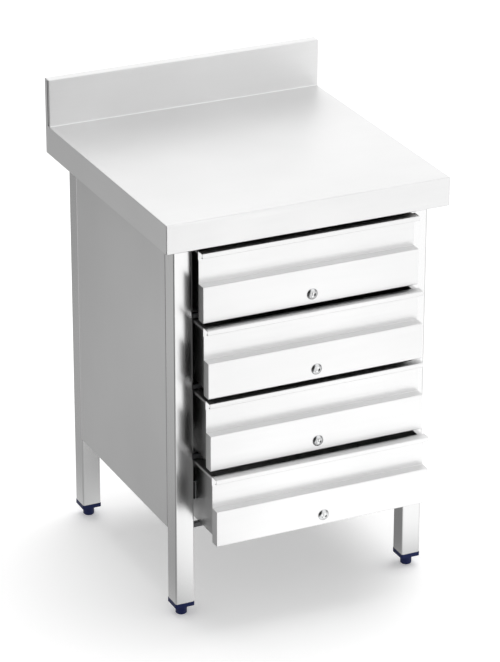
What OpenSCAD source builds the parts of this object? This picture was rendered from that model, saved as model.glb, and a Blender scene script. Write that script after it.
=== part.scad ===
// Stainless steel work table with a rear upstand and a stack of four lockable drawers.
// Millimetres, +X to the table's right as seen from the front, +Y to the rear, +Z up.
// The origin is on the floor, in the middle of the space that the table takes up.

/* [Worktop] */
// Width of the worktop
table_w = 600; // [560:5:700]
// Depth of the worktop, upstand included
table_d = 600; // [580:5:700]
// Height of the working surface above the floor
work_h = 855; // [840:5:950]
// Height of the folded edge round the worktop
edge_h = 60; // [52:1:75]
// Height of the upstand above the working surface
upstand_h = 100; // [50:5:150]
// Thickness of the hollow upstand
upstand_t = 20; // [14:1:30]
// Sheet thickness of the worktop
top_sheet = 1.2; // [1:0.1:1.5]
// Inner radius of the folds in all sheet parts
fold_r = 0.8; // [0.5:0.1:1.2]
// Width of the return flange under the edge
return_w = 14; // [8:1:20]
// Open gap in each end of the upstand, behind its front sheet
end_gap = 6.5; // [3:0.5:9]
// Height of the slanted joint at each end of the upstand
joint_rise = 15; // [8:1:20]
// Thickness of the core board under the sheet
core_t = 18; // [15:1:22]
// Gap all round between the core board and the edge
core_gap = 1.5; // [1:0.5:3]

/* [Frame] */
// Outer width of the square leg tube
leg_w = 40; // [36:1:45]
// Wall thickness of the leg tube
leg_wall = 1.5; // [1.2:0.1:2]
// Inner corner radius of the leg tube
leg_corner = 1.5; // [1:0.1:2.5]
// From the side of the worktop to the outer face of the legs
side_inset = 29; // [20:1:35]
// From the front of the worktop to the front face of the front legs
front_inset = 35; // [25:1:45]
// From the back of the worktop to the rear face of the rear legs
rear_inset = 48; // [35:1:55]
// Outer width of the square top rails
rail_w = 30; // [25:1:30]
// Wall thickness of the top rails
rail_wall = 1.5; // [1.2:0.1:2]
// Distance that a top rail sits behind the outer face of the legs
rail_inset = 5; // [2:1:6]
// Sheet thickness of the side and back panels
panel_t = 1; // [0.8:0.1:1.2]
// Depth of the flanges round the side panels
side_flange = 15; // [10:1:20]
// Depth of the flanges round the back panel
back_flange = 10; // [8:1:11]
// Thickness of the divider angles and the bottom rail
angle_t = 1.5; // [1:0.1:1.8]
// Depth of the lower flange of the divider angles and the bottom rail
angle_flange = 25; // [18:1:30]
// Distance that the panels reach below the bottom rail
panel_drop = 6; // [0:0.5:12]

/* [Feet] */
// Diameter of a foot
foot_d = 23; // [18:1:26]
// Height of a foot's head
foot_h = 21.3; // [14:0.1:26]
// Chamfer under the foot
foot_chamfer = 2; // [1:0.5:3]
// Diameter of the foot's stud
stud_d = 10; // [8:1:12]
// Length of the foot's stud
stud_l = 48; // [40:1:60]
// Thickness of the insert's flange
insert_flange = 8.5; // [4:0.5:10]
// Distance that the insert's flange stands out past the leg, on each side
insert_over = 0.5; // [0:0.1:1]
// Length of the insert inside the leg
insert_l = 26; // [20:1:32]
// Gap between a foot and its insert when it is screwed in
foot_gap = 0.2; // [0.1:0.1:0.5]

/* [Drawers] */
// Height of a drawer front
front_h = 142.5; // [135:0.5:144]
// Gap between two drawer fronts
front_gap = 6.5; // [6:0.5:9]
// Gap between the worktop's edge and the top drawer front
top_gap = 6.5; // [4:0.5:8]
// Sheet thickness of the drawer fronts
front_t = 1.2; // [1:0.1:1.4]
// Depth of the front's folds: how far the lower face stands proud of the grip plate
recess = 21; // [18:0.5:23]
// Height of the lip along the top of a front
lip_h = 9.5; // [7:0.5:14]
// Depth of the hem behind the lip
lip_hem = 6; // [3:0.5:9]
// Distance from the top of a front down to the ledge under the grip
ledge_drop = 68; // [60:0.5:74]
// Gap between the lip's end and the leg
lip_gap = 1; // [0.6:0.1:1.6]
// Distance that the front's body is narrower than its lip, at each end
body_step = 1; // [0:0.1:1.5]
// Sheet thickness of the drawer boxes
box_t = 1; // [0.8:0.1:1.2]
// Height of a box's underside above the bottom of its front
box_rise = 3.5; // [3:0.5:5]
// Distance of a box's top flanges below the top of its front
box_drop = 3; // [2:0.5:4]
// Height of the rim on a box's top flanges
box_rim = 5; // [3:0.5:8]
// Distance from the rear of a closed box to the back panel's flanges
box_rear = 5.8; // [4:0.1:8]
// Vertical clearance between a divider angle and the boxes above and below it
angle_gap = 1.5; // [1:0.1:2]
// Distance from the back of a closed grip plate to the divider angle
angle_back = 2.3; // [1.5:0.1:4]
// Distance that the top drawer stands open
open_1 = 24; // [0:1:200]
// Distance that the second drawer stands open
open_2 = 46; // [0:1:200]
// Distance that the third drawer stands open
open_3 = 55; // [0:1:200]
// Distance that the bottom drawer stands open
open_4 = 83; // [0:1:200]

/* [Slides] */
// Width of a slide, between leg and box
slide_w = 12.7; // [11:0.1:14]
// Height of a slide
slide_h = 45; // [36:1:52]
// Sheet thickness of the slide members
slide_t = 1.2; // [1:0.1:1.4]
// Gap between the nested members
slide_gap = 0.3; // [0.2:0.1:0.4]
// Inner radius of the folds in the slide members
slide_fold = 0.5; // [0.4:0.1:0.8]
// Height of a slide's middle above the bottom of its front
slide_z = 65; // [60:1:85]
// Distance of the slides' front ends behind the front face of the legs
slide_front = 103; // [95:1:110]
// Distance from the slides' rear ends to the back panel's flanges
slide_rear = 4; // [2:1:8]
// Vertical distance between the two screws at each end of a slide
slide_screw_pitch = 20; // [14:1:24]
// Distance of the screws from the front end of a slide and from the rear end of its support
slide_screw_end = 30; // [20:1:40]
// Height of the slides' supports, which run from leg to leg
support_h = 56; // [53:1:60]
// Depth of the supports
support_w = 12; // [8:1:15]
// Sheet thickness of the supports
support_t = 1.5; // [1.2:0.1:2]

/* [Locks] */
// Height of a lock's axis above the bottom of its front
lock_z = 21; // [20:0.5:28]
// Diameter of a lock's ring
ring_d = 23.5; // [22:0.5:28]
// Distance that the ring stands out of the front
ring_proud = 3.5; // [2.5:0.5:5]
// Diameter of the lock's threaded barrel
barrel_d = 19; // [17:0.5:20]
// Length of the lock's barrel behind the face of the front
barrel_l = 29.5; // [27:0.5:34]
// Diameter of the turning plug
plug_d = 14; // [11:0.5:14.5]
// Radial clearance of the plug in its case
plug_fit = 0.05; // [0.02:0.01:0.08]
// Depth of the plug's face inside the ring
plug_set = 1.6; // [1:0.1:2.2]
// Thickness of the cam
cam_t = 2; // [1.5:0.5:3]
// Width of the cam
cam_w = 12; // [9:1:14]
// Clearance of the turned cam above the divider angle's lower flange
cam_gap = 1; // [0.6:0.1:1.2]
// Distance across the flats of the fixing nut
nut_af = 24; // [22:1:26]
// Thickness of the fixing nut
nut_t = 4; // [3:0.5:6]
// Width of the key slot
key_w = 1.6; // [1:0.1:2.5]
// Height of the key slot
key_h = 8; // [6:0.5:9]

/* [Screws] */
// Diameter of the slide screws
slide_screw_d = 4; // [3:0.5:5]
// Length of the slide screws behind the slide's back
slide_screw_l = 7; // [5:1:12]
// Diameter of the screws that hold the frame to the core board
frame_screw_d = 5; // [4:0.5:6]
// Distance that the frame screws reach into the core board
frame_screw_grip = 13; // [8:1:14]

/* [Hidden] */
DRAWERS = [1, 2, 3, 4];
DRAWER_PARTS = [
    "front", "box", "slides_outer", "slides_middle", "slides_inner",
    "lock_case", "lock_nut", "lock_plug", "lock_cam"
];

// Colours as the photo shows them
STEEL = "#d3d5d5";
STEEL_SIDE = "#a3a5a5";
STEEL_DARK = "#2b2c2d";
ZINC = "#b9bcbe";
CHROME = "#e3e5e6";
NAVY = "#27325a";
BOARD = "#b58d5c";

// Fineness of folds, and of round pieces by size
fold_steps = 4;
fine = 64;
coarse = 32;
// Length by which one cutter or sheet runs into the next
over = 1;
// Gap between sheets that are welded together
weld_gap = 0.05;

// Worktop
edge_bottom = work_h - edge_h;
core_top = work_h - top_sheet;
core_bottom = core_top - core_t;
core_w = table_w - 2 * (top_sheet + core_gap);
core_d = table_d - 2 * (top_sheet + core_gap);
upstand_y = table_d / 2 - upstand_t;

// Frame: positions of the legs' faces
leg_x = table_w / 2 - side_inset;
bay_x = leg_x - leg_w;
leg_front_y = -table_d / 2 + front_inset;
leg_rear_y = table_d / 2 - rear_inset;
bay_front_y = leg_front_y + leg_w;
bay_rear_y = leg_rear_y - leg_w;
leg_bottom = foot_h + foot_gap + insert_flange;
leg_mid = [leg_x - leg_w / 2, leg_front_y + leg_w / 2, leg_rear_y - leg_w / 2];
rail_z = core_bottom - rail_w;
screw_head_d = frame_screw_d * 1.8;

// Drawers: heights of the fronts' bottoms, the closed place of their proud faces
open_by = [open_1, open_2, open_3, open_4];
pitch = front_h + front_gap;
function front_z(i) = edge_bottom - top_gap - front_h - (i - 1) * pitch;
closed_y = leg_front_y - recess;
lip_x = bay_x - lip_gap;
body_x = lip_x - body_step;
grip_back = recess + front_t;
ledge_z = front_h - ledge_drop;
lip_z = front_h - lip_h;

// Slides: they end just before the back panel, as the boxes do when they are closed
slide_y = leg_front_y + slide_front;
slide_l = leg_rear_y - back_flange - slide_rear - slide_y;
outer_half = slide_h / 2;
middle_half = outer_half - slide_t - slide_gap;
inner_half = middle_half - slide_t - slide_gap;
channel_in = slide_w - slide_t - 0.5;
box_x = bay_x - slide_w;
box_l = leg_rear_y - back_flange - box_rear - closed_y - grip_back;
box_top = front_h - box_drop;

// Divider angles, in a front's own heights
angle_y = grip_back + angle_back;
angle_low = -(front_gap + box_drop - angle_gap);
angle_high = box_rise - angle_gap;
panel_z = front_z(4) + angle_low - panel_drop;
panel_h = rail_z - panel_z;

// Locks
cam_y = barrel_l + 1.5;
cam_reach = lock_z - (angle_low + angle_t + cam_gap);
stub_d = plug_d * 0.55;
cam_screw_t = 2.5;
case_gap = 1;
cup_d = ring_d - 3;
cup_depth = ring_proud - 0.8;

// The table's middle between the bottom drawer's lock and the rear of the worktop
front_most = closed_y - max(open_by) - ring_proud;
origin_y = (front_most + table_d / 2) / 2;

// Plane geometry of folded sheets and rounded outlines
function unit(v) = v / norm(v);
function turned(v, a) = [v.x * cos(a) - v.y * sin(a), v.x * sin(a) + v.y * cos(a)];
function left_of(a, b) = let (u = unit(b - a)) [-u.y, u.x];
function turn_at(a, b, c) =
    let (u = b - a, v = c - b) atan2(u.x * v.y - u.y * v.x, u.x * v.x + u.y * v.y);
function backwards(list) = [for (k = [len(list) - 1:-1:0]) list[k]];

// One fold as [point, normal] pairs along the sheet's middle line, with radius r
function fold(a, b, c, r) =
    let (
        turn = turn_at(a, b, c),
        side = sign(turn),
        normal = left_of(a, b),
        start = b - unit(b - a) * r * tan(abs(turn) / 2),
        centre = start + normal * r * side
    )
    [for (k = [0:fold_steps])
        let (n = turned(normal, turn * k / fold_steps)) [centre - n * r * side, n]];

function sheet_line(path, r) =
    let (last = len(path) - 1)
    concat(
        [[path[0], left_of(path[0], path[1])]],
        [for (k = [1:last - 1]) each fold(path[k - 1], path[k], path[k + 1], r)],
        [[path[last], left_of(path[last - 1], path[last])]]
    );

// The two faces of a sheet of thickness t: side 1 is left of the path, side -1 right of it
function sheet_face(path, t, r, side) =
    [for (p = sheet_line(path, r + t / 2)) p[0] + p[1] * side * t / 2];
function sheet(path, t, r) =
    concat(sheet_face(path, t, r, 1), backwards(sheet_face(path, t, r, -1)));

function rounded(w, h, r) =
    [for (q = [0:3]) for (k = [0:fold_steps])
        let (a = 90 * (q + k / fold_steps), sx = [1, -1, -1, 1][q], sy = [1, 1, -1, -1][q])
        [sx * (w / 2 - r) + r * cos(a), sy * (h / 2 - r) + r * sin(a)]];

// Extrusions along the three axes: an outline's x and y become Y and Z, or X and Z
module along_x(length) {
    translate([-length / 2, 0, 0]) rotate([90, 0, 90]) linear_extrude(length) children();
}

module along_y(length) {
    translate([0, length, 0]) rotate([90, 0, 0]) linear_extrude(length) children();
}

// A box with all its edges rounded, standing on z = 0
module rounded_block(w, d, h, r) {
    intersection() {
        linear_extrude(h) polygon(rounded(w, d, r));
        translate([0, -d / 2, h / 2]) along_y(d) polygon(rounded(w, h, r));
        translate([0, 0, h / 2]) along_x(w) polygon(rounded(d, h, r));
    }
}

module square_tube(w, wall, corner, length) {
    linear_extrude(length)
        difference() {
            polygon(rounded(w, w, corner + wall));
            polygon(rounded(w - 2 * wall, w - 2 * wall, corner));
        }
}

// A panel with flanges on all four sides: face on y = 0, flanges towards +y
module pan(w, h, flange, t) {
    side = w / 2 - t / 2;
    linear_extrude(h)
        polygon(sheet([[side, flange], [side, t / 2], [-side, t / 2], [-side, flange]], t, fold_r));
    for (z = [0, h - t])
        translate([-w / 2 + t / 2, t / 2, z])
            cube([w - t, flange - t / 2, t]);
}

// Puts a piece that is drawn about the middle of the worktop into the table's own frame
module placed() {
    translate([0, -origin_y, 0]) children();
}

module both_sides() {
    children();
    mirror([1, 0, 0]) children();
}

// A drawer's own frame: y = 0 on its proud face, z = 0 at the bottom of its front
module at_drawer(i, share) {
    placed()
        translate([0, closed_y - open_by[i - 1] * share, front_z(i)])
            children();
}

// Worktop
module worktop_outer(inset) {
    r = fold_r + top_sheet - inset;
    translate([0, 0, edge_bottom + inset])
        rounded_block(table_w - 2 * inset, table_d - 2 * inset, edge_h - 2 * inset, r);
    translate([0, table_d / 2 - upstand_t / 2, edge_bottom + inset])
        rounded_block(table_w - 2 * inset, upstand_t - 2 * inset, edge_h + upstand_h - 2 * inset, r);
}

// The open strip in an upstand's end and the slanted joint below it
module upstand_end_cuts() {
    joint_angle = atan2(joint_rise, upstand_t);
    groove = 0.5;
    translate([table_w / 2 - top_sheet - over, upstand_y + top_sheet, work_h + top_sheet])
        cube([top_sheet + 2 * over, end_gap, upstand_h - 3 * top_sheet]);
    translate([table_w / 2 - groove, upstand_y, work_h])
        rotate([joint_angle, 0, 0])
            translate([0, 0, -groove / 2])
                cube([groove + over, norm([joint_rise, upstand_t]) + over, groove]);
}

module worktop() {
    fillet = 2.5;
    color(STEEL)
    placed() {
        difference() {
            worktop_outer(0);
            worktop_outer(top_sheet);
            translate([-table_w / 2 + return_w, -table_d / 2 + return_w, edge_bottom - over])
                cube([table_w - 2 * return_w, table_d - 2 * return_w, top_sheet + 2 * over]);
            both_sides() upstand_end_cuts();
        }
        translate([0, upstand_y, work_h])
            along_x(table_w - 2 * (fold_r + top_sheet))
                difference() {
                    translate([-fillet, -top_sheet / 2])
                        square([fillet + top_sheet / 2, fillet + top_sheet / 2]);
                    translate([-fillet, fillet]) circle(fillet, $fn = fine);
                    translate([-fillet - over, fillet])
                        square([fillet + over + top_sheet, top_sheet]);
                }
    }
}

module worktop_core() {
    color(BOARD)
    placed()
        difference() {
            translate([-core_w / 2, -core_d / 2, core_bottom]) cube([core_w, core_d, core_t]);
            at_frame_screws()
                translate([0, 0, rail_w - over])
                    cylinder(h = frame_screw_grip + over, d = frame_screw_d, $fn = coarse);
        }
}

// Frame: two screws up through each top rail, from the rail's underside
module at_frame_screws() {
    rail_mid = rail_inset + rail_w / 2;
    third_x = bay_x / 2;
    third_y = (bay_rear_y - bay_front_y) / 4;
    middle_y = (bay_rear_y + bay_front_y) / 2;
    for (side = [-1, 1]) {
        for (y = [leg_front_y + rail_mid, leg_rear_y - rail_mid])
            translate([side * third_x, y, rail_z]) children();
        for (step = [-1, 1])
            translate([side * (leg_x - rail_mid), middle_y + step * third_y, rail_z]) children();
    }
}

module frame_screws() {
    head_h = frame_screw_d * 0.6;
    color(ZINC)
    placed()
        at_frame_screws() {
            translate([0, 0, -head_h]) cylinder(h = head_h, d = screw_head_d, $fn = coarse);
            translate([0, 0, -head_h / 2])
                cylinder(h = head_h / 2 + rail_w + frame_screw_grip, d = frame_screw_d, $fn = coarse);
        }
}

module rail_holes() {
    placed()
        at_frame_screws()
            translate([0, 0, -over])
                cylinder(h = rail_w + 2 * over, d = frame_screw_d, $fn = coarse);
}

module top_rail_across(y) {
    color(STEEL_DARK)
    difference() {
        placed()
            translate([-bay_x, y, rail_z + rail_w / 2])
                rotate([90, 0, 90]) square_tube(rail_w, rail_wall, leg_corner, 2 * bay_x);
        rail_holes();
    }
}

module top_rail_along(side) {
    color(STEEL_DARK)
    difference() {
        placed()
            translate([side * (leg_x - rail_inset - rail_w / 2), bay_rear_y, rail_z + rail_w / 2])
                rotate([90, 0, 0])
                    square_tube(rail_w, rail_wall, leg_corner, bay_rear_y - bay_front_y);
        rail_holes();
    }
}

// The screws' places in the slides' backs, on the inner face of the supports on the right
module at_slide_screws(i) {
    for (y = [slide_y + slide_screw_end, bay_rear_y - slide_screw_end], step = [-1, 1])
        translate([bay_x, y, front_z(i) + slide_z + step * slide_screw_pitch / 2])
            rotate([0, 90, 0]) children();
}

module leg(x, y) {
    color(STEEL)
    placed()
        translate([x, y, leg_bottom])
            square_tube(leg_w, leg_wall, leg_corner, core_bottom - leg_bottom);
}

// Channels from the front leg to the rear leg, with their backs flush with the legs' inner faces
module slide_supports() {
    mid = support_t / 2;
    high = support_h / 2 - mid;
    color(STEEL_DARK)
    placed()
        both_sides()
            for (i = DRAWERS)
                difference() {
                    translate([bay_x, bay_front_y, front_z(i) + slide_z])
                        along_y(bay_rear_y - bay_front_y)
                            polygon(sheet(
                                [[support_w, high], [mid, high], [mid, -high], [support_w, -high]],
                                support_t, fold_r
                            ));
                    at_slide_screws(i)
                        translate([0, 0, -over])
                            cylinder(h = support_t + 2 * over, d = slide_screw_d, $fn = coarse);
                }
}

module slide_screws() {
    head_d = slide_screw_d + 2 * slide_t;
    color(ZINC)
    placed()
        both_sides()
            for (i = DRAWERS)
                at_slide_screws(i) {
                    translate([0, 0, -slide_t])
                        cylinder(h = slide_t, d1 = head_d, d2 = slide_screw_d, $fn = coarse);
                    cylinder(h = slide_screw_l, d = slide_screw_d, $fn = coarse);
                }
}

// The panel's upper flange is cut away round the heads of the frame screws
module side_panel(side) {
    head_room = 1;
    color(STEEL_SIDE)
    placed()
        difference() {
            mirror([side < 0 ? 1 : 0, 0, 0])
                translate([leg_x, (bay_front_y + bay_rear_y) / 2, panel_z])
                    rotate([0, 0, 90])
                        pan(bay_rear_y - bay_front_y, panel_h, side_flange, panel_t);
            at_frame_screws()
                translate([0, 0, -panel_t - over])
                    cylinder(h = panel_t + 2 * over, d = screw_head_d + 2 * head_room, $fn = coarse);
        }
}

module back_panel() {
    color(STEEL_SIDE)
    placed()
        translate([0, leg_rear_y, panel_z])
            rotate([0, 0, 180]) pan(2 * bay_x, panel_h, back_flange, panel_t);
}

// The angle across the bay under drawer i, which the drawer's lock holds on to
module cross_angle(i) {
    half = angle_t / 2;
    height = angle_high - angle_low;
    color(STEEL_DARK)
    placed()
        translate([0, closed_y + angle_y, front_z(i) + angle_low])
            along_x(2 * bay_x)
                polygon(sheet([[angle_flange, half], [half, half], [half, height]], angle_t, fold_r));
}

module divider_angles() {
    for (i = [1, 2, 3]) cross_angle(i);
}

module rail_bottom_front() {
    cross_angle(4);
}

// Feet
module leg_inserts() {
    insert_fit = 0.2;
    plug_w = leg_w - 2 * leg_wall - 2 * insert_fit;
    flange_w = leg_w + 2 * insert_over;
    color(NAVY)
    placed()
        for (side = [-1, 1], y = [leg_mid[1], leg_mid[2]])
            translate([side * leg_mid[0], y, leg_bottom])
                difference() {
                    union() {
                        translate([0, 0, -insert_flange])
                            linear_extrude(insert_flange)
                                polygon(rounded(flange_w, flange_w, leg_corner + leg_wall));
                        translate([0, 0, -over])
                            linear_extrude(insert_l + over)
                                polygon(rounded(plug_w, plug_w, leg_corner));
                    }
                    translate([0, 0, -insert_flange - over])
                        cylinder(h = insert_flange + insert_l + 2 * over, d = stud_d + 0.1, $fn = fine);
                }
}

module foot(side, y) {
    edge = 0.6;
    color(NAVY)
    placed()
        translate([side * leg_mid[0], y, 0]) {
            rotate_extrude($fn = fine)
                polygon([
                    [0, 0], [foot_d / 2 - foot_chamfer, 0], [foot_d / 2, foot_chamfer],
                    [foot_d / 2, foot_h - edge], [foot_d / 2 - edge, foot_h], [0, foot_h]
                ]);
            translate([0, 0, foot_h / 2])
                cylinder(h = foot_h / 2 + stud_l, d = stud_d, $fn = fine);
        }
}

// Drawers
module lip_outline() {
    half = front_t / 2;
    polygon(sheet([
        [lip_hem, lip_z + half], [half, lip_z + half], [half, front_h - half],
        [recess + half, front_h - half], [recess + half, lip_z - lip_h]
    ], front_t, fold_r));
}

function body_path() =
    let (half = front_t / 2)
    [
        [recess + half, lip_z], [recess + half, ledge_z - half], [half, ledge_z - half],
        [half, half], [grip_back, half]
    ];

function end_path() =
    let (half = front_t / 2)
    [[grip_back, ledge_z - half], [half, ledge_z - half], [half, half], [grip_back, half]];

module lock_hole(d, y) {
    translate([0, y, lock_z])
        rotate([-90, 0, 0]) cylinder(h = 3 * over + front_t, d = d, $fn = fine);
}

module drawer_front(i) {
    color(STEEL)
    at_drawer(i, 1)
        difference() {
            union() {
                along_x(2 * lip_x) lip_outline();
                along_x(2 * body_x) polygon(sheet(body_path(), front_t, fold_r));
                both_sides()
                    translate([body_x - front_t / 2, 0, 0])
                        along_x(front_t) polygon(sheet_face(end_path(), front_t, fold_r, -1));
            }
            lock_hole(barrel_d + 0.4, -over);
        }
}

// Five sheets spot-welded together: two folded sides, with the floor and both ends between them
module drawer_box(i) {
    half = box_t / 2;
    rim_x = body_x - half;
    wall_x = box_x - half;
    top = box_top - half;
    inside_x = box_x - box_t - weld_gap;
    slot_gap = 2;
    color(ZINC)
    at_drawer(i, 1)
        difference() {
            union() {
                both_sides()
                    translate([0, grip_back, 0])
                        along_y(box_l)
                            polygon(sheet([
                                [wall_x, box_rise], [wall_x, top], [rim_x, top],
                                [rim_x, box_top - box_rim]
                            ], box_t, fold_r));
                for (y = [0, box_l - box_t])
                    translate([-inside_x, grip_back + y, box_rise])
                        cube([2 * inside_x, box_t, top - box_rise]);
                translate([-inside_x, grip_back + box_t + weld_gap, box_rise])
                    cube([2 * inside_x, box_l - 2 * (box_t + weld_gap), box_t]);
            }
            lock_hole(barrel_d + 2 * case_gap, grip_back - over);
            translate([-cam_w / 2 - slot_gap, cam_y - slot_gap, box_rise - over])
                cube([cam_reach + cam_w / 2 + slot_gap, cam_t + 2 * slot_gap, box_t + 2 * over]);
        }
}

// One member of a slide on the right: u runs from the leg's face towards the box
module slide_channel(near, far, half) {
    mid = slide_t / 2;
    path = near < far
        ? [[far, half - mid], [near + mid, half - mid], [near + mid, mid - half], [far, mid - half]]
        : [[far, half - mid], [near - mid, half - mid], [near - mid, mid - half], [far, mid - half]];
    translate([bay_x, 0, 0])
        mirror([1, 0, 0])
            along_y(slide_l) polygon(sheet(path, slide_t, slide_fold));
}

module slides(i, share, near, far, half) {
    color(ZINC)
    placed()
        both_sides()
            translate([0, slide_y - open_by[i - 1] * share, front_z(i) + slide_z])
                slide_channel(near, far, half);
}

module slides_outer(i) {
    difference() {
        slides(i, 0, 0, channel_in, outer_half);
        placed()
            both_sides()
                at_slide_screws(i)
                    translate([0, 0, -slide_t])
                        cylinder(
                            h = slide_t, d1 = slide_screw_d + 2 * slide_t, d2 = slide_screw_d,
                            $fn = coarse
                        );
    }
}

module slides_middle(i) {
    slides(i, 0.5, slide_t + slide_gap, channel_in, middle_half);
}

module slides_inner(i) {
    slides(i, 1, slide_w, 2 * slide_t + 2 * slide_gap, inner_half);
}

// Locks, turned about their own axis: z runs from the front's face into the drawer
module at_lock(i) {
    at_drawer(i, 1)
        translate([0, 0, lock_z])
            rotate([-90, 0, 0])
                children();
}

module lock_case(i) {
    edge = 0.6;
    bore = plug_d / 2 + plug_fit;
    color(CHROME)
    at_lock(i)
        rotate_extrude($fn = fine)
            polygon([
                [cup_d / 2, -ring_proud], [ring_d / 2 - edge, -ring_proud],
                [ring_d / 2, edge - ring_proud], [ring_d / 2, 0], [barrel_d / 2, 0],
                [barrel_d / 2, barrel_l], [bore, barrel_l], [bore, cup_depth - ring_proud],
                [bore + edge, cup_depth - ring_proud]
            ]);
}

module lock_nut(i) {
    color(ZINC)
    at_lock(i)
        translate([0, 0, front_t])
            difference() {
                rotate([0, 0, 30]) cylinder(h = nut_t, d = nut_af / cos(30), $fn = 6);
                translate([0, 0, -over]) cylinder(h = nut_t + 2 * over, d = barrel_d, $fn = fine);
            }
}

module lock_plug(i) {
    key_depth = 12;
    color(CHROME)
    at_lock(i)
        difference() {
            union() {
                translate([0, 0, plug_set - ring_proud])
                    cylinder(h = cam_y - plug_set + ring_proud, d = plug_d, $fn = fine);
                translate([0, 0, cam_y - over])
                    cylinder(h = cam_t + over, d = stub_d, $fn = fine);
            }
            translate([-key_w / 2, -key_h / 2, plug_set - ring_proud - over])
                cube([key_w, key_h, key_depth + over]);
        }
}

// The cam points to the right when the lock is open; its screw is a separate solid behind it
module lock_cam(i) {
    color(ZINC)
    at_lock(i)
        translate([0, 0, cam_y]) {
            difference() {
                intersection() {
                    union() {
                        cylinder(h = cam_t, d = cam_w + 4, $fn = fine);
                        translate([0, -cam_w / 2, 0]) cube([cam_reach, cam_w, cam_t]);
                    }
                    cylinder(h = cam_t, r = cam_reach, $fn = fine);
                }
                translate([0, 0, -over]) cylinder(h = cam_t + 2 * over, d = stub_d, $fn = fine);
            }
            translate([0, 0, cam_t])
                cylinder(h = cam_screw_t, d = stub_d + 3, $fn = coarse);
        }
}

worktop();
worktop_core();
frame_screws();
leg(-leg_mid[0], leg_mid[1]);  // leg_front_left
leg(leg_mid[0], leg_mid[1]);  // leg_front_right
leg(-leg_mid[0], leg_mid[2]);  // leg_rear_left
leg(leg_mid[0], leg_mid[2]);  // leg_rear_right
side_panel(-1);  // side_panel_left
side_panel(1);  // side_panel_right
back_panel();
top_rail_across(leg_front_y + rail_inset + rail_w / 2);  // rail_top_front
top_rail_across(leg_rear_y - rail_inset - rail_w / 2);  // rail_top_rear
top_rail_along(-1);  // rail_top_left
top_rail_along(1);  // rail_top_right
rail_bottom_front();
divider_angles();
slide_supports();
slide_screws();
leg_inserts();
foot(-1, leg_mid[1]);  // foot_front_left
foot(1, leg_mid[1]);  // foot_front_right
foot(-1, leg_mid[2]);  // foot_rear_left
foot(1, leg_mid[2]);  // foot_rear_right
for (i = DRAWERS) {
    drawer_front(i);
    drawer_box(i);
    slides_outer(i);
    slides_middle(i);
    slides_inner(i);
    lock_case(i);
    lock_nut(i);
    lock_plug(i);
    lock_cam(i);
}
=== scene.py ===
"""The looks of a stainless steel work table with an upstand and four lockable drawers.

The table itself comes from the frame, at its real size. Everything here has the same axes, +X to
the table's right, +Y to the rear and +Z up from the floor, and is in metres where nothing says
millimetres.
"""

import logging
import math
from dataclasses import dataclass
from enum import Enum
from functools import cache
from typing import Any, Optional, Union

import bmesh
import bpy
from mathutils import Matrix, Vector


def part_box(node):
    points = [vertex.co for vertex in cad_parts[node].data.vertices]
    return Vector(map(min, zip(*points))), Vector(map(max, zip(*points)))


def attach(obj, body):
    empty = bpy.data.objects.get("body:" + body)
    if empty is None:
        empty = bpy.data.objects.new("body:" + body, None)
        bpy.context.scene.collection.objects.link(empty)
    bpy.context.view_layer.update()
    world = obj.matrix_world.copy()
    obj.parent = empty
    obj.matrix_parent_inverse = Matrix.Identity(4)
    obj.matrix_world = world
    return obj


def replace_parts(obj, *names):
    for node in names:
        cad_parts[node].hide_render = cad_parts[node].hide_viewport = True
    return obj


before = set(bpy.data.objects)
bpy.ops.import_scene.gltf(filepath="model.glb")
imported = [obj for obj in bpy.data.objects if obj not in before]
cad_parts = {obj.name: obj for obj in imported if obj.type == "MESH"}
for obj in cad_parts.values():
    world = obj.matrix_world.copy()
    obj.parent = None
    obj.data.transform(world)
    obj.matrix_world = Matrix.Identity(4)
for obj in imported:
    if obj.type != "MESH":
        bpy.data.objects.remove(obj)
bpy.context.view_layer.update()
log = logging.getLogger("work_table")

MM = 0.001
UP = Vector((0, 0, 1))
# Nearly all of a noise texture's values lie in this span.
NOISE_SPAN = (0.3, 0.7)

Triple = tuple[float, float, float]
# A node, which stands for its first output, or a node and the name or number of its output.
Source = Union[bpy.types.Node, tuple[bpy.types.Node, Union[int, str]]]


class Side(Enum):
    """A side of the table, with its sign along X."""

    LEFT = -1
    RIGHT = 1


class Grain(Enum):
    """The way a sheet is brushed: on faces that look forward or up, then on faces to the side."""

    LENGTHWISE = ((1.0, 0.0, 0.0), (0.0, 1.0, 0.0))
    UPRIGHT = ((0.0, 0.0, 1.0), (0.0, 0.0, 1.0))


class Along(Enum):
    """What a fade of the studio's light is measured along."""

    WIDTH = "from the table's left to its right"
    DEPTH = "from the front to the rear"
    SLANT = "from the front left to the rear right"
    REACH = "away from the middle of the table's shade"


def linear(colour: str) -> tuple[float, float, float, float]:
    """Turns an sRGB hex colour into the linear colour that a shader takes.

    Args:
        colour: A colour such as "#d9dad9".

    Returns:
        The linear red, green, blue and an alpha of 1.
    """
    parts = [int(colour[k:k + 2], 16) / 255 for k in (1, 3, 5)]
    light = [c / 12.92 if c <= 0.04045 else ((c + 0.055) / 1.055) ** 2.4 for c in parts]
    return (light[0], light[1], light[2], 1.0)


def node(tree: bpy.types.NodeTree, kind: str, inputs: Optional[dict[Union[int, str], Any]] = None,
         **settings: Any) -> bpy.types.Node:
    """Adds a node with its settings, and fills or links its inputs.

    Args:
        tree: The tree that the node goes into.
        kind: Blender's name for the kind of node.
        inputs: For each input, by name or number, a plain value or the source to link.
        **settings: Properties of the node itself.

    Returns:
        The new node.
    """
    made = tree.nodes.new(kind)
    for name, value in settings.items():
        setattr(made, name, value)
    for key, value in (inputs or {}).items():
        source = value if isinstance(value, tuple) else (value, 0)
        if isinstance(source[0], bpy.types.Node):
            tree.links.new(source[0].outputs[source[1]], made.inputs[key])
        else:
            made.inputs[key].default_value = value
    return made


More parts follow.
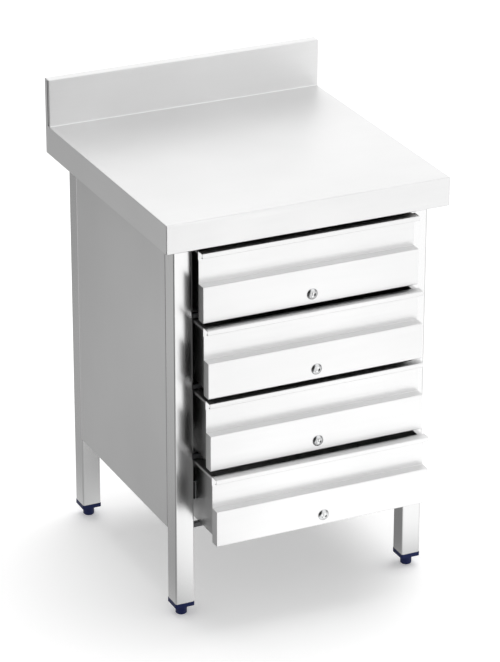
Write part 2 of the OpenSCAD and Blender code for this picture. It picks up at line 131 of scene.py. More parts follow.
def bare_material(name: str) -> bpy.types.Material:
    """Adds a material whose tree has no nodes yet.

    Args:
        name: The material's name.

    Returns:
        The material.
    """
    material = bpy.data.materials.new(name)
    material.use_nodes = True
    material.node_tree.nodes.clear()
    return material


def add_piece(name: str, made: bmesh.types.BMesh, body: str,
              material: bpy.types.Material, sharp_from: float = 35.0) -> bpy.types.Object:
    """Turns a mesh in metres into a piece that rides on a body.

    Args:
        name: The piece's name.
        made: The mesh, which is freed here.
        body: The body that the piece moves with.
        material: The finish.
        sharp_from: The angle in degrees from which an edge stays sharp.

    Returns:
        The piece.
    """
    bmesh.ops.recalc_face_normals(made, faces=made.faces)
    mesh = bpy.data.meshes.new(name)
    made.to_mesh(mesh)
    made.free()
    mesh.shade_smooth()
    mesh.set_sharp_from_angle(angle=math.radians(sharp_from))
    mesh.materials.append(material)
    piece = bpy.data.objects.new(name, mesh)
    bpy.context.scene.collection.objects.link(piece)
    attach(piece, body)
    log.info("%s: %s", name, material.name)
    return piece


def add_rings(made: bmesh.types.BMesh, rings: list[list[Vector]], closed: bool) -> None:
    """Skins a row of rings, each with the same number of points.

    Args:
        made: The mesh that the skin is added to.
        rings: The rings, one after the other.
        closed: Whether the last ring joins the first; if not, both ends are capped.
    """
    loops = [[made.verts.new(point) for point in ring] for ring in rings]
    around = len(rings[0])
    for k in range(len(loops) if closed else len(loops) - 1):
        low, high = loops[k], loops[(k + 1) % len(loops)]
        for j in range(around):
            made.faces.new((low[j], low[(j + 1) % around], high[(j + 1) % around], high[j]))
    if not closed:
        made.faces.new(loops[0])
        made.faces.new(loops[-1])


def dress(node_name: str, material: bpy.types.Material) -> None:
    """Gives every material slot of a CAD node the same finish.

    Args:
        node_name: The node's name.
        material: The finish.
    """
    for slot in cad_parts[node_name].material_slots:
        slot.material = material
    log.info("%s: %s", node_name, material.name)


@dataclass(frozen=True, kw_only=True)
class Finish:
    """A surface: what a piece is made of, and how its face was made.

    The roughness varies between two shares of itself, the spread, and the relief is the strength
    of a pattern that stands as high as relief_mm.
    """

    name: str
    colour: str
    roughness: float
    spread: tuple[float, float] = (0.9, 1.12)
    relief: float = 0.35
    relief_mm: float = 0.004

    @cache
    def build(self) -> bpy.types.Material:
        """Makes the node material, once for all the pieces that have this finish.

        Returns:
            The material, which works on any face without a UV map.
        """
        material = bare_material(self.name)
        tree = material.node_tree
        place = (node(tree, "ShaderNodeTexCoord"), "Object")
        node(tree, "ShaderNodeOutputMaterial", {"Surface": self._surface(tree, place)})
        return material

    def _surface(self, tree: bpy.types.NodeTree, place: Source) -> bpy.types.Node:
        """Makes the surface's nodes.

        Args:
            tree: The material's tree.
            place: The place on the piece.

        Returns:
            The shader.
        """
        raise NotImplementedError

    def _touch(self, tree: bpy.types.NodeTree, pattern: Source) -> dict[str, Source]:
        """Lets a pattern vary the roughness and stand in relief.

        Args:
            tree: The material's tree.
            pattern: The pattern.

        Returns:
            The shader's roughness and normal.
        """
        low, high = self.spread
        blur = node(tree, "ShaderNodeMapRange", {
            "Value": pattern, "From Min": NOISE_SPAN[0], "From Max": NOISE_SPAN[1],
            "To Min": self.roughness * low, "To Max": self.roughness * high,
        })
        relief = node(tree, "ShaderNodeBump", {
            "Height": pattern, "Strength": self.relief, "Distance": self.relief_mm * MM,
        })
        return {"Roughness": blur, "Normal": relief}


@dataclass(frozen=True, kw_only=True)
class GrainedSteel(Finish):
    """Steel sheet or tube with a grain along it, and large soft clouds in its colour.

    The grain's fine parallel scratches draw a highlight out across it, and blur the mirror image of
    what stands near. Real scratches are about 0.05 mm wide, too fine for the render, and are drawn
    0.9 mm wide.
    """

    second_colour: str
    grain: Grain = Grain.LENGTHWISE
    stretch: float = 0.55
    scratch_mm: float = 0.9
    scratch_length_mm: float = 160.0
    scratch_detail: float = 3.0
    scratch_breaks: float = 0.6
    cloud_mm: float = 260.0
    cloud_detail: float = 2.0
    cloud_span: tuple[float, float] = (0.35, 0.65)
    side_from: float = 0.7

    def _surface(self, tree: bpy.types.NodeTree, place: Source) -> bpy.types.Node:
        """Makes scratches along the grain, and clouds.

        Args:
            tree: The material's tree.
            place: The place on the piece.

        Returns:
            The shader.
        """
        geometry = node(tree, "ShaderNodeNewGeometry")
        facing = node(tree, "ShaderNodeSeparateXYZ", {0: (geometry, "Normal")})
        sideways = node(tree, "ShaderNodeMath", {0: (facing, "X")}, operation="ABSOLUTE")
        is_side = node(tree, "ShaderNodeMath", {0: sideways, 1: self.side_from},
                       operation="GREATER_THAN")
        front_way, side_way = self.grain.value
        front_scale, side_scale = (self._scale(way) for way in self.grain.value)
        scale = node(tree, "ShaderNodeMix", {0: is_side, 4: front_scale, 5: side_scale},
                     data_type="VECTOR")
        stretched = node(tree, "ShaderNodeVectorMath", {0: place, 1: (scale, 1)},
                         operation="MULTIPLY")
        scratches = node(tree, "ShaderNodeTexNoise", {
            "Vector": stretched, "Scale": 1.0, "Detail": self.scratch_detail,
            "Roughness": self.scratch_breaks,
        })
        clouds = node(tree, "ShaderNodeTexNoise", {
            "Vector": place, "Scale": 1 / (self.cloud_mm * MM), "Detail": self.cloud_detail,
        })
        low, high = self.cloud_span
        tint = node(tree, "ShaderNodeMapRange",
                    {"Value": clouds, "From Min": low, "From Max": high})
        colour = node(tree, "ShaderNodeMix",
                      {0: tint, 6: linear(self.colour), 7: linear(self.second_colour)},
                      data_type="RGBA")
        way = node(tree, "ShaderNodeMix", {0: is_side, 4: front_way, 5: side_way},
                   data_type="VECTOR")
        return node(tree, "ShaderNodeBsdfPrincipled", {
            "Base Color": (colour, 2), "Metallic": 1.0, "Anisotropic": self.stretch,
            "Tangent": (way, 1), **self._touch(tree, scratches),
        })

    def _scale(self, way: Triple) -> Triple:
        """Gives the scratches' scale in each axis.

        Args:
            way: The direction that the scratches run in.

        Returns:
            The number of scratches to a metre, which is least along them.
        """
        along, across = 1 / (self.scratch_length_mm * MM), 1 / (self.scratch_mm * MM)
        return tuple(along if share else across for share in way)


@dataclass(frozen=True, kw_only=True)
class SmoothMetal(Finish):
    """Metal without a grain, plated or as welded, whose mirror image has faint marks in it.

    Real marks are a few tenths of a millimetre wide, and are drawn coarser to show at all.
    """

    spread: tuple[float, float] = (0.8, 1.3)
    relief: float = 0.2
    relief_mm: float = 0.01
    mark_mm: float = 1.2
    mark_detail: float = 4.0

    def _surface(self, tree: bpy.types.NodeTree, place: Source) -> bpy.types.Node:
        """Makes the marks.

        Args:
            tree: The material's tree.
            place: The place on the piece.

        Returns:
            The shader.
        """
        marks = node(tree, "ShaderNodeTexNoise", {
            "Vector": place, "Scale": 1 / (self.mark_mm * MM), "Detail": self.mark_detail,
        })
        return node(tree, "ShaderNodeBsdfPrincipled", {
            "Base Color": linear(self.colour), "Metallic": 1.0, **self._touch(tree, marks),
        })


@dataclass(frozen=True, kw_only=True)
class Skin(Finish):
    """A moulded or baked skin, with a fine even texture that mixes two near colours."""

    second_colour: str
    texture_mm: float
    texture_detail: float
    ior: float
    specular: float = 0.5

    def _surface(self, tree: bpy.types.NodeTree, place: Source) -> bpy.types.Node:
        """Makes the texture.

        Args:
            tree: The material's tree.
            place: The place on the piece.

        Returns:
            The shader.
        """
        texture = node(tree, "ShaderNodeTexNoise", {
            "Vector": place, "Scale": 1 / (self.texture_mm * MM), "Detail": self.texture_detail,
        })
        colour = node(tree, "ShaderNodeMix",
                      {0: texture, 6: linear(self.colour), 7: linear(self.second_colour)},
                      data_type="RGBA")
        return node(tree, "ShaderNodeBsdfPrincipled", {
            "Base Color": (colour, 2), "IOR": self.ior, "Specular IOR Level": self.specular,
            **self._touch(tree, texture),
        })


@dataclass(frozen=True, kw_only=True)
class Chipboard(Finish):
    """Raw pressed chipboard, in which wood flakes shade from dark to pale between finer dust."""

    second_colour: str
    relief: float = 0.5
    relief_mm: float = 0.2
    flake_mm: float = 4.0
    dust_mm: float = 2.0
    dust_detail: float = 4.0

    def _surface(self, tree: bpy.types.NodeTree, place: Source) -> bpy.types.Node:
        """Makes the flakes and the dust.

        Args:
            tree: The material's tree.
            place: The place on the piece.

        Returns:
            The shader.
        """
        flakes = node(tree, "ShaderNodeTexVoronoi",
                      {"Vector": place, "Scale": 1 / (self.flake_mm * MM)})
        dust = node(tree, "ShaderNodeTexNoise", {
            "Vector": place, "Scale": 1 / (self.dust_mm * MM), "Detail": self.dust_detail,
        })
        tone = node(tree, "ShaderNodeMath", {0: (flakes, "Distance"), 1: dust}, operation="ADD")
        colour = node(tree, "ShaderNodeMix",
                      {0: tone, 6: linear(self.colour), 7: linear(self.second_colour)},
                      data_type="RGBA")
        relief = node(tree, "ShaderNodeBump", {
            "Height": tone, "Strength": self.relief, "Distance": self.relief_mm * MM,
        })
        return node(tree, "ShaderNodeBsdfPrincipled", {
            "Base Color": (colour, 2), "Roughness": self.roughness, "Normal": relief,
        })


# Stainless steel, satin ground: a pale, soft sheen that blurs all it mirrors to broad bands.
WORKTOP_STEEL = GrainedSteel(name="stainless_satin_ground_worktop", roughness=0.4,
                             colour="#e7e7e7", second_colour="#e3e3e3")
# The same, with a little more gloss: the bands run across the width of each drawer.
FRONT_STEEL = GrainedSteel(name="stainless_satin_ground_fronts", roughness=0.36,
                           colour="#e4e4e4", second_colour="#e0e0e0")
# Stainless tube, belt ground along its length: sharper, darker bands that run up the legs.
LEG_STEEL = GrainedSteel(name="stainless_tube_belt_ground", roughness=0.22,
                         colour="#d9d9d9", second_colour="#d5d5d5", grain=Grain.UPRIGHT)
# Stainless steel, satin ground upwards: a soft, even grey between the glossier legs.
PANEL_STEEL = GrainedSteel(name="stainless_satin_ground_panel", roughness=0.38,
                           colour="#dddddd", second_colour="#d9d9d9", grain=Grain.UPRIGHT)
# Stainless steel as it leaves the mill: a shade darker than ground steel, with stronger clouds.
BOX_STEEL = GrainedSteel(name="stainless_mill_finish_drawer", roughness=0.32,
                         colour="#dedede", second_colour="#d4d4d4")
# Rolled steel, zinc plated: cooler and greyer than stainless, with the rolling's lines in it.
SLIDE_STEEL = GrainedSteel(name="steel_zinc_plated_slide", roughness=0.32,
                           colour="#c4c7c9", second_colour="#b4b8ba")
# Turned and pressed steel, zinc plated: small bright grey highlights, soft at their edges.
SCREW_STEEL = SmoothMetal(name="steel_zinc_plated_fixing", roughness=0.28, colour="#bfc1c2")
# Zinc casting, polished and chromed: nearly a mirror, with a dark and a bright crescent.
RING_CHROME = SmoothMetal(name="zinc_cast_chromed_ring", roughness=0.08, colour="#c4c5c6")
# Turned brass, nickelled: lighter than the ring around it, with a softer mirror image.
PLUG_CHROME = SmoothMetal(name="brass_nickelled_plug", roughness=0.12, colour="#d8d9d9")
# Stainless weld metal, brushed but not ground: a dull straw tint, with small uneven highlights.
WELD_BEAD = SmoothMetal(name="stainless_weld_bead", roughness=0.34, colour="#a39d93", mark_mm=0.8)
# Dark grey steel, with an orange-peel ripple and a dull gloss. Its dark grey is in part painted
# shade: it matches the dark of the gaps between the drawers and of the band under the worktop.
RAIL_COAT_AND_GAP_SHADE = Skin(name="steel_dark_grey_painted_gap_shade", roughness=0.38, spread=(0.9, 1.15),
                 colour="#343536", second_colour="#3f4042", relief=0.5, relief_mm=0.03,
                 texture_mm=1.4, texture_detail=2.0, ior=1.5)
# Nylon, injection moulded: a dull navy sheen, broken up by the spark-eroded grain of the mould,
# which is about 0.1 mm wide and is drawn coarser to show.
FOOT_NYLON = Skin(name="nylon_moulded_navy", roughness=0.5, spread=(0.85, 1.2),
                  colour="#07164a", second_colour="#0c1d54", relief=0.4, relief_mm=0.05,
                  texture_mm=0.6, texture_detail=3.0, ior=1.53, specular=0.25)
# Chipboard, pressed and left raw: dry and matt, with no highlight.
CORE_BOARD = Chipboard(name="chipboard_raw_pressed", roughness=0.85,
                       colour="#7d5c3a", second_colour="#b7946a")


@dataclass
class WorktopAssembly:
    """The folded worktop with its upstand, the board under it and the strips in the upstand's ends.

    The first three sizes are the CAD model's own. A strip keeps its play to the sheet, and points
    of its rounding that come closer than merge_within become one.
    """

    sheet: float = 1.2 * MM
    upstand_depth: float = 20 * MM
    upstand_height: float = 100 * MM
    strip_sheet: float = 0.8 * MM
    strip_width: float = 9 * MM
    strip_return: float = 6 * MM
    strip_play: float = 0.1 * MM
    strip_rounding: float = 0.2 * MM
    rounding_steps: int = 2
    merge_within: float = 0.01 * MM

    def build(self) -> None:
        """Dresses the worktop's nodes and closes the upstand's ends."""
        dress("worktop", WORKTOP_STEEL.build())
        dress("worktop_core", CORE_BOARD.build())
        for side in Side:
            self._end_strip(side)

    def _end_strip(self, side: Side) -> None:
        """Makes the folded strip that shows through the gap in an end of the upstand.

        Args:
            side: The end's side of the table.
        """
        right, rear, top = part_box("worktop")[1]
        outer = right - self.sheet - self.strip_play
        inner = outer - self.strip_sheet
        front = rear - self.upstand_depth + self.sheet + self.strip_play
        back = front + self.strip_width
        outline = [(outer, front), (outer, back), (inner - self.strip_return, back),
                   (inner - self.strip_return, back - self.strip_sheet),
                   (inner, back - self.strip_sheet), (inner, front)]
        ends = (top - self.upstand_height + 2 * self.sheet, top - self.sheet - self.strip_play)
        made = bmesh.new()
        add_rings(made, [[Vector((side.value * x, y, z)) for x, y in outline] for z in ends],
                  closed=False)
        bmesh.ops.bevel(made, geom=list(made.edges), offset=self.strip_rounding,
                        segments=self.rounding_steps, affect="EDGES", clamp_overlap=True)
        bmesh.ops.remove_doubles(made, verts=list(made.verts), dist=self.merge_within)
        add_piece(f"upstand_end_strip_{side.name.lower()}", made, "frame",
                  WORKTOP_STEEL.build())


@dataclass
class Cabinet:
    """The legs with their feet, and the panels, rails and screws between them."""

    corners: tuple[str, ...] = ("front_left", "front_right", "rear_left", "rear_right")
    panels: tuple[str, ...] = ("side_panel_left", "side_panel_right", "back_panel")
    rails: tuple[str, ...] = ("rail_top_front", "rail_top_rear", "rail_top_left", "rail_top_right",
                              "rail_bottom_front", "divider_angles", "slide_supports")
    screws: tuple[str, ...] = ("frame_screws", "slide_screws")

    def build(self) -> None:
        """Dresses the frame's nodes."""
        for corner in self.corners:
            dress(f"leg_{corner}", LEG_STEEL.build())
            dress(f"foot_{corner}", FOOT_NYLON.build())
        dress("leg_inserts", FOOT_NYLON.build())
        # The rails' dark grey is in part painted shade for the gaps between the drawers and under
        # the worktop.
        for names, finish in ((self.panels, PANEL_STEEL), (self.rails, RAIL_COAT_AND_GAP_SHADE),
                              (self.screws, SCREW_STEEL)):
            for name in names:
                dress(name, finish.build())


@dataclass
class CamLock:
    """A cam lock: a domed ring on a threaded barrel, and the dished plug that turns in it.

    Sizes are in millimetres. A line holds points of a turned outline, each with its distance from
    the lock's axis and its depth behind the drawer front's face, so what stands proud of the face
    has a negative depth.
    """

    # The ring, from the bore over its dome to the barrel.
    ring_line: tuple[tuple[float, float], ...] = (
        (7.05, -0.9), (6.05, -0.9), (6.05, -2.9), (6.2, -3.3), (6.55, -3.47), (7.0, -3.4),
        (8.0, -3.0), (9.0, -2.45), (10.0, -1.8), (10.8, -1.15), (11.3, -0.6), (11.45, -0.2),
        (11.45, 0.0), (9.3, 0.0),
    )
    # The barrel, with its thread and the two flats that keep it from turning.
    barrel: float = 9.5
    barrel_end: float = 29.5
    thread_pitch: float = 1.25
    thread_depth: float = 0.4
    thread_clear: float = 0.5
    steps_per_turn: int = 4
    flat_to_flat: float = 17.2
    # The barrel's end, with depths from barrel_end on.
    end_line: tuple[tuple[float, float], ...] = ((8.4, 0.0), (7.4, 0.0), (7.05, -0.4))
    # The plug's face: a dish, which is part of a ball of this radius, inside a rim.
    dish: float = 10.5
    dish_middle: float = 0.3
    dish_edge: float = 5.7
    dish_rings: int = 10
    rim: float = 5.8
    rim_proud: float = 3.0
    # The plug behind its face: the rim's edge, the neck, the body in the bore and the cam's seat.
    plug_line: tuple[tuple[float, float], ...] = (
        (5.86, -2.98), (6.0, -2.8), (6.0, -0.8), (7.0, -0.8), (7.0, 31.0), (3.85, 31.0),
        (3.85, 32.7), (3.55, 33.0),
    )
    # The key slot's width, height and depth.
    key_slot: Triple = (1.1, 6.0, 10.0)
    around: int = 56
    ring_sharp_from: float = 40.0

    def build(self, number: int) -> None:
        """Makes a drawer's ring with its barrel, and its plug.

        Args:
            number: The drawer's number.
        """
        low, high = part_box(f"drawer_{number}_lock_case")
        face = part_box(f"drawer_{number}_front")[0][1]
        axis = Vector(((low[0] + high[0]) / 2, face, (low[2] + high[2]) / 2))
        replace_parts(self._case(number, axis), f"drawer_{number}_lock_case")
        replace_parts(self._plug(number, axis), f"drawer_{number}_lock_plug")

    def _ring(self, axis: Vector, radius: float, depth: float) -> list[Vector]:
        """Gives one ring of points about the lock's axis.

        Args:
            axis: Where the axis meets the front's face.
            radius: The ring's radius.
            depth: Its depth behind the face.

        Returns:
            The points, in metres.
        """
        angles = [2 * math.pi * k / self.around for k in range(self.around)]
        return [axis + MM * Vector((radius * math.cos(a), depth, radius * math.sin(a)))
                for a in angles]

    def _thread(self, axis: Vector, depth: float) -> list[Vector]:
        """Gives one ring of the barrel, with its helical thread and its two flats.

        Args:
            axis: Where the axis meets the front's face.
            depth: The ring's depth behind the face.

        Returns:
            The points, in metres.
        """
        flat = self.flat_to_flat / 2
        points = []
        for turn in (k / self.around for k in range(self.around)):
            phase = (depth / self.thread_pitch - turn) % 1.0
            radius = self.barrel - self.thread_depth * abs(2 * phase - 1)
            x, z = radius * math.cos(2 * math.pi * turn), radius * math.sin(2 * math.pi * turn)
            points.append(axis + MM * Vector((max(-flat, min(flat, x)), depth, z)))
        return points

    def _case(self, number: int, axis: Vector) -> bpy.types.Object:
        """Makes the domed ring and the hollow threaded barrel behind it.

        Args:
            number: The drawer's number.
            axis: Where the axis meets the front's face.

        Returns:
            The piece.
        """
        rings = [self._ring(axis, radius, depth) for radius, depth in self.ring_line]
        step = self.thread_pitch / self.steps_per_turn
        count = int((self.barrel_end - 2 * self.thread_clear) / step)
        rings += [self._thread(axis, self.thread_clear + step * k) for k in range(count)]
        rings += [self._ring(axis, radius, self.barrel_end + depth)
                  for radius, depth in self.end_line]
        made = bmesh.new()
        add_rings(made, rings, closed=True)
        return add_piece(f"drawer_{number}_lock_ring_and_barrel", made, f"drawer_{number}",
                         RING_CHROME.build(), self.ring_sharp_from)

    def _hollow(self, radius: float) -> float:
        """Gives how much higher the dish is at a radius than in its middle."""
        return self.dish - math.sqrt(self.dish ** 2 - radius ** 2)

    def _plug(self, number: int, axis: Vector) -> bpy.types.Object:
        """Makes the plug with its dished face, and cuts the key slot into it.

        Args:
            number: The drawer's number.
            axis: Where the axis meets the front's face.

        Returns:
            The piece.
        """
        bottom = self._hollow(self.rim) - self.rim_proud
        step = (self.dish_edge - self.dish_middle) / (self.dish_rings - 1)
        radii = [self.dish_middle + step * k for k in range(self.dish_rings)]
        line = [(radius, bottom - self._hollow(radius)) for radius in radii]
        line += self.plug_line
        made = bmesh.new()
        add_rings(made, [self._ring(axis, radius, depth) for radius, depth in line], closed=False)
        piece = add_piece(f"drawer_{number}_lock_key_plug", made, f"drawer_{number}_lock",
                          PLUG_CHROME.build())
        half_wide, half_high, half_deep = (size * MM / 2 for size in self.key_slot)
        rim = axis.y - self.rim_proud * MM
        corners = [(-half_wide, -half_high), (half_wide, -half_high),
                   (half_wide, half_high), (-half_wide, half_high)]
        cutter = bmesh.new()
        add_rings(cutter, [[Vector((axis.x + x, y, axis.z + z)) for x, z in corners]
                           for y in (rim - half_deep, rim + 2 * half_deep)], closed=False)
        self._cut(piece, cutter)
        return piece

    @staticmethod
    def _cut(piece: bpy.types.Object, cutter: bmesh.types.BMesh) -> None:
        """Takes a cutter's space out of a piece.

        Args:
            piece: The piece, whose mesh is changed.
            cutter: The cutter's mesh, which is freed here.
        """
        bmesh.ops.recalc_face_normals(cutter, faces=cutter.faces)
        mesh = bpy.data.meshes.new("cutter")
        cutter.to_mesh(mesh)
        cutter.free()
        tool = bpy.data.objects.new("cutter", mesh)
        bpy.context.scene.collection.objects.link(tool)
        cut = piece.modifiers.new("key_slot", "BOOLEAN")
        cut.operation, cut.solver, cut.object = "DIFFERENCE", "EXACT", tool
        seen = piece.evaluated_get(bpy.context.evaluated_depsgraph_get())
        result = bpy.data.meshes.new_from_object(seen)
        piece.modifiers.remove(cut)
        piece.data = result
        bpy.data.objects.remove(tool)
        bpy.data.meshes.remove(mesh)


@dataclass
class TackWelds:
    """The short weld beads that hold a drawer box's floor to its sides and ends.

    The box's sheet and the place of its side walls are the CAD model's own.
    """

    sheet: float = 1 * MM
    wall_x: float = 217.3 * MM
    bead_length: float = 9 * MM
    bead_size: float = 1.6 * MM
    # The share of its size that a bead still has at its two ends.
    bead_tail: float = 0.25
    per_side: int = 5
    # The beads along each end, as shares of the way from the middle to a side wall.
    end_places: tuple[float, ...] = (-0.66, -0.33, 0.33, 0.66)
    rings: int = 7
    around: int = 10
    sharp_from: float = 60.0

    def build(self, number: int) -> None:
        """Makes all beads of one drawer box as one piece.

        Args:
            number: The drawer's number.
        """
        low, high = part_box(f"drawer_{number}_box")
        floor = low[2] + self.sheet
        made = bmesh.new()
        for side in Side:
            for k in range(self.per_side):
                y = low[1] + (high[1] - low[1]) * (k + 0.5) / self.per_side
                self._bead(made, Vector((side.value * self.wall_x, y, floor)), Vector((0, 1, 0)))
        for y in (low[1] + self.sheet, high[1] - self.sheet):
            for share in self.end_places:
                self._bead(made, Vector((share * self.wall_x, y, floor)), Vector((1, 0, 0)))
        add_piece(f"drawer_{number}_tack_welds", made, f"drawer_{number}",
                  WELD_BEAD.build(), self.sharp_from)

    def _bead(self, made: bmesh.types.BMesh, middle: Vector, way: Vector) -> None:
        """Adds one bead, a low swelling that fades out at both ends.

        Args:
            made: The mesh that the bead is added to.
            middle: The bead's middle, in the corner that it fills.
            way: The direction along the joint.
        """
        across = way.cross(UP)
        angles = [2 * math.pi * k / self.around for k in range(self.around)]
        rings = []
        for share in (-1 + 2 * k / (self.rings - 1) for k in range(self.rings)):
            swell = self.bead_tail + (1 - self.bead_tail) * math.sqrt(1 - share ** 2)
            size = self.bead_size * swell
            centre = middle + way * share * self.bead_length / 2
            rings.append([centre + size * (across * math.cos(a) + UP * math.sin(a))
                          for a in angles])
        add_rings(made, rings, closed=False)


@dataclass
class DrawerStack:
    """The four drawers with their slides and locks."""

    numbers: tuple[int, ...] = (1, 2, 3, 4)

    def build(self) -> None:
        """Dresses every drawer's nodes, and makes its lock and its weld beads."""
        # The case and the plug stay hidden behind the lock's own pieces, in the same finish.
        finishes = {
            "front": FRONT_STEEL, "box": BOX_STEEL, "slides_outer": SLIDE_STEEL,
            "slides_middle": SLIDE_STEEL, "slides_inner": SLIDE_STEEL, "lock_case": RING_CHROME,
            "lock_plug": PLUG_CHROME, "lock_nut": SCREW_STEEL, "lock_cam": SCREW_STEEL,
        }
        for number in self.numbers:
            for part, finish in finishes.items():
                dress(f"drawer_{number}_{part}", finish.build())
            CamLock().build(number)
            TackWelds().build(number)


@dataclass(frozen=True)
class Fade:
    """A soft change of brightness between two places, measured along one way."""

    along: Along
    start: float
    end: float
    before: float = 0.0
    after: float = 1.0

    def inputs(self, ways: dict[Along, Source]) -> dict[str, Any]:
        """Gives the inputs of the Map Range node that makes the fade.

        Args:
            ways: The source that measures each way.

        Returns:
            The inputs, by name.
        """
        return {"Value": ways[self.along], "From Min": self.start, "From Max": self.end,
                "To Min": self.before, "To Max": self.after}


@dataclass
class Studio:
    """A pale floor, soft light and the camera at the photograph's angle.

    Bare steel looks like what it mirrors. So the floor and the sky have levels of their own for
    rays that come from a mirror image or through glass, dark on the table's left and bright on its
    right, as they are around the real table. The camera sees the floor and the sky white.
    """

    # The camera's place, its angles in degrees, its lens, and how far it sees.
    camera_at: Triple = (-2.60727, -5.53906, 3.18655)
    azimuth: float = -25.18
    elevation: float = 23.853
    roll: float = 0.092
    lens_mm: float = 181.33
    sensor_mm: float = 36.0
    sight: float = 200.0

    # The floor's half width, its paint, and the glow that the camera alone sees on it.
    floor_half: float = 30.0
    floor_colour: str = "#f8f8f8"
    eye_glow: float = 0.26

    # The floor as it is mirrored: the share of glow in it, and the levels of the glow at the front
    # left, the rear left and the right, with the fades that lead from one to the next.
    mirror_share: float = 0.95
    floor_front_left: Fade = Fade(Along.DEPTH, -1.3, -0.7, 0.06, 0.25)
    floor_rear_left: Fade = Fade(Along.WIDTH, -1.0, -0.3, 0.612, 0.4335)
    floor_rearward: Fade = Fade(Along.DEPTH, -0.6, 0.2)
    floor_rightward: Fade = Fade(Along.WIDTH, -0.4, -0.05)
    floor_right: float = 1.54

    # What dims that glow: the distance at the rear right, and the shade under the table. The
    # slant is how much the depth counts beside the width.
    slant: float = 0.7
    floor_far_right: Fade = Fade(Along.SLANT, 0.05, 0.4, 1.0, 0.6)
    shade_at: Triple = (0.12, 0.0, 0.0)
    floor_shade: Fade = Fade(Along.REACH, 0.12, 0.52, 0.19)

    # The sky's level as light, and its levels as it is mirrored: from left to right, far off on
    # the right, and from left to right in front, with the fade that leads forward to those.
    sky_soft: float = 0.62
    sky_side: Fade = Fade(Along.WIDTH, -0.9, 0.35, 0.3, 1.28)
    sky_far_right: Fade = Fade(Along.WIDTH, 0.6, 0.95, 1.0, 0.3)
    sky_front: Fade = Fade(Along.WIDTH, -0.35, 0.15, 0.1, 1.14)
    sky_forward: Fade = Fade(Along.DEPTH, -0.2, -0.6)

    # The key light: the way to it, how wide it is in degrees, and its strength.
    key_way: Triple = (0.24, 0.2, 0.95)
    key_spread: float = 50.0
    key_strength: float = 1.35

    def build(self) -> None:
        """Makes the camera, the floor and the light."""
        self._camera()
        self._floor()
        self._sky()
        self._key()
        bpy.context.scene.view_settings.view_transform = "Standard"

    def _camera(self) -> None:
        """Puts the camera where the photograph was taken from."""
        a, e, r = (math.radians(v) for v in (self.azimuth, self.elevation, self.roll))
        back = Vector((math.sin(a) * math.cos(e), -math.cos(a) * math.cos(e), math.sin(e)))
        level = Vector((math.cos(a), math.sin(a), 0.0))
        rise = back.cross(level)
        right = level * math.cos(r) + rise * math.sin(r)
        up = rise * math.cos(r) - level * math.sin(r)
        lens = bpy.data.cameras.new("camera")
        lens.lens = self.lens_mm
        lens.sensor_width = self.sensor_mm
        lens.clip_end = self.sight
        camera = bpy.data.objects.new("camera", lens)
        turn = Matrix((right, up, back)).transposed().to_4x4()
        camera.matrix_world = Matrix.Translation(self.camera_at) @ turn
        bpy.context.scene.collection.objects.link(camera)
        bpy.context.scene.camera = camera

    def _floor(self) -> None:
        """Makes the floor, which shows white and keeps the table's shadow."""
        half = self.floor_half
        mesh = bpy.data.meshes.new("floor")
        mesh.from_pydata([(-half, -half, 0), (half, -half, 0), (half, half, 0), (-half, half, 0)],
                         [], [(0, 1, 2, 3)])
        floor = bpy.data.objects.new("floor", mesh)
        bpy.context.scene.collection.objects.link(floor)
        material = bare_material("floor_paint_matt")
        tree = material.node_tree
        path = node(tree, "ShaderNodeLightPath")
        paint = node(tree, "ShaderNodeBsdfDiffuse", {"Color": linear(self.floor_colour)})
        to_eye = node(tree, "ShaderNodeMath", {0: (path, "Is Camera Ray"), 1: self.eye_glow},
                      operation="MULTIPLY")
        eye_glow = node(tree, "ShaderNodeEmission", {"Strength": to_eye})
        seen = node(tree, "ShaderNodeAddShader", {0: paint, 1: eye_glow})
        mirror_glow = node(tree, "ShaderNodeEmission", {"Strength": self._floor_level(tree)})
        soft = node(tree, "ShaderNodeMixShader",
                    {0: self.mirror_share, 1: paint, 2: mirror_glow})
        surface = node(tree, "ShaderNodeMixShader",
                       {0: self._mirrored(tree, path), 1: seen, 2: soft})
        node(tree, "ShaderNodeOutputMaterial", {"Surface": surface})
        mesh.materials.append(material)

    def _floor_level(self, tree: bpy.types.NodeTree) -> Source:
        """Makes the level at which the floor glows in a mirror image.

        Args:
            tree: The tree of the floor's material.

        Returns:
            The level.
        """
        place = (node(tree, "ShaderNodeTexCoord"), "Object")
        split = node(tree, "ShaderNodeSeparateXYZ", {0: place})
        aslant = node(tree, "ShaderNodeMath", {0: (split, "Y"), 1: self.slant, 2: (split, "X")},
                      operation="MULTIPLY_ADD")
        reach = node(tree, "ShaderNodeVectorMath", {0: place, 1: self.shade_at},
                     operation="DISTANCE")
        ways = {Along.WIDTH: (split, "X"), Along.DEPTH: (split, "Y"), Along.SLANT: aslant,
                Along.REACH: (reach, "Value")}
        front_left, rear_left, rearward, rightward, far_right, shade = (
            node(tree, "ShaderNodeMapRange", fade.inputs(ways), interpolation_type="SMOOTHSTEP")
            for fade in (self.floor_front_left, self.floor_rear_left, self.floor_rearward,
                         self.floor_rightward, self.floor_far_right, self.floor_shade))
        left = node(tree, "ShaderNodeMix", {0: rearward, 2: front_left, 3: rear_left})
        level = node(tree, "ShaderNodeMix", {0: rightward, 2: left, 3: self.floor_right})
        for factor in (far_right, shade):
            level = node(tree, "ShaderNodeMath", {0: level, 1: factor}, operation="MULTIPLY")
        return level

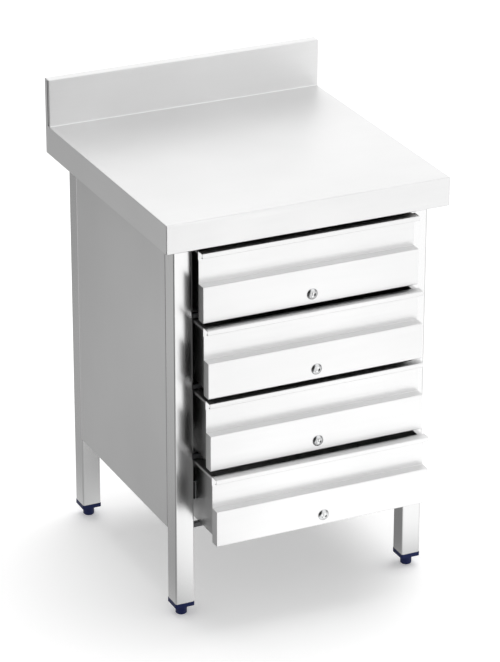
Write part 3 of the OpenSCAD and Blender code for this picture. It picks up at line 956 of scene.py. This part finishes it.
    def _sky(self) -> None:
        """Makes the soft surround, which shows white."""
        world = bpy.data.worlds.new("studio")
        bpy.context.scene.world = world
        world.use_nodes = True
        tree = world.node_tree
        tree.nodes.clear()
        place = node(tree, "ShaderNodeTexCoord")
        split = node(tree, "ShaderNodeSeparateXYZ", {0: (place, "Generated")})
        ways = {Along.WIDTH: (split, "X"), Along.DEPTH: (split, "Y")}
        side, far_right, front, forward = (
            node(tree, "ShaderNodeMapRange", fade.inputs(ways), interpolation_type="SMOOTHSTEP")
            for fade in (self.sky_side, self.sky_far_right, self.sky_front, self.sky_forward))
        level = node(tree, "ShaderNodeMix", {0: forward, 2: 1.0, 3: front})
        for factor in (side, far_right):
            level = node(tree, "ShaderNodeMath", {0: level, 1: factor}, operation="MULTIPLY")
        path = node(tree, "ShaderNodeLightPath")
        lit = node(tree, "ShaderNodeMix",
                   {0: self._mirrored(tree, path), 2: self.sky_soft, 3: level})
        strength = node(tree, "ShaderNodeMix", {0: (path, "Is Camera Ray"), 2: lit, 3: 1.0})
        surround = node(tree, "ShaderNodeBackground",
                        {"Color": linear("#ffffff"), "Strength": strength})
        node(tree, "ShaderNodeOutputWorld", {"Surface": surround})

    @staticmethod
    def _mirrored(tree: bpy.types.NodeTree, path: bpy.types.Node) -> Source:
        """Tells rays that come from a mirror image or through glass from all others.

        Args:
            tree: The tree that the node goes into.
            path: The tree's Light Path node.

        Returns:
            The source that is 1 for those rays and 0 for the others.
        """
        return node(tree, "ShaderNodeMath",
                    {0: (path, "Is Glossy Ray"), 1: (path, "Is Transmission Ray")},
                    operation="MAXIMUM")

    def _key(self) -> None:
        """Hangs the key light: a wide, soft, even light from the table's right and rear."""
        data = bpy.data.lights.new("key", "SUN")
        data.angle = math.radians(self.key_spread)
        data.energy = self.key_strength
        lamp = bpy.data.objects.new("key", data)
        lamp.location = self.key_way
        lamp.rotation_euler = Vector(self.key_way).to_track_quat("Z", "Y").to_euler()
        lamp.visible_glossy = False
        bpy.context.scene.collection.objects.link(lamp)


def main() -> None:
    """Builds the studio and dresses each part of the table in order."""
    logging.basicConfig(level=logging.INFO, format="%(name)s %(message)s")
    for part in (Studio(), WorktopAssembly(), Cabinet(), DrawerStack()):
        part.build()
        log.info("%s done", type(part).__name__)


if __name__ == "__main__":
    main()
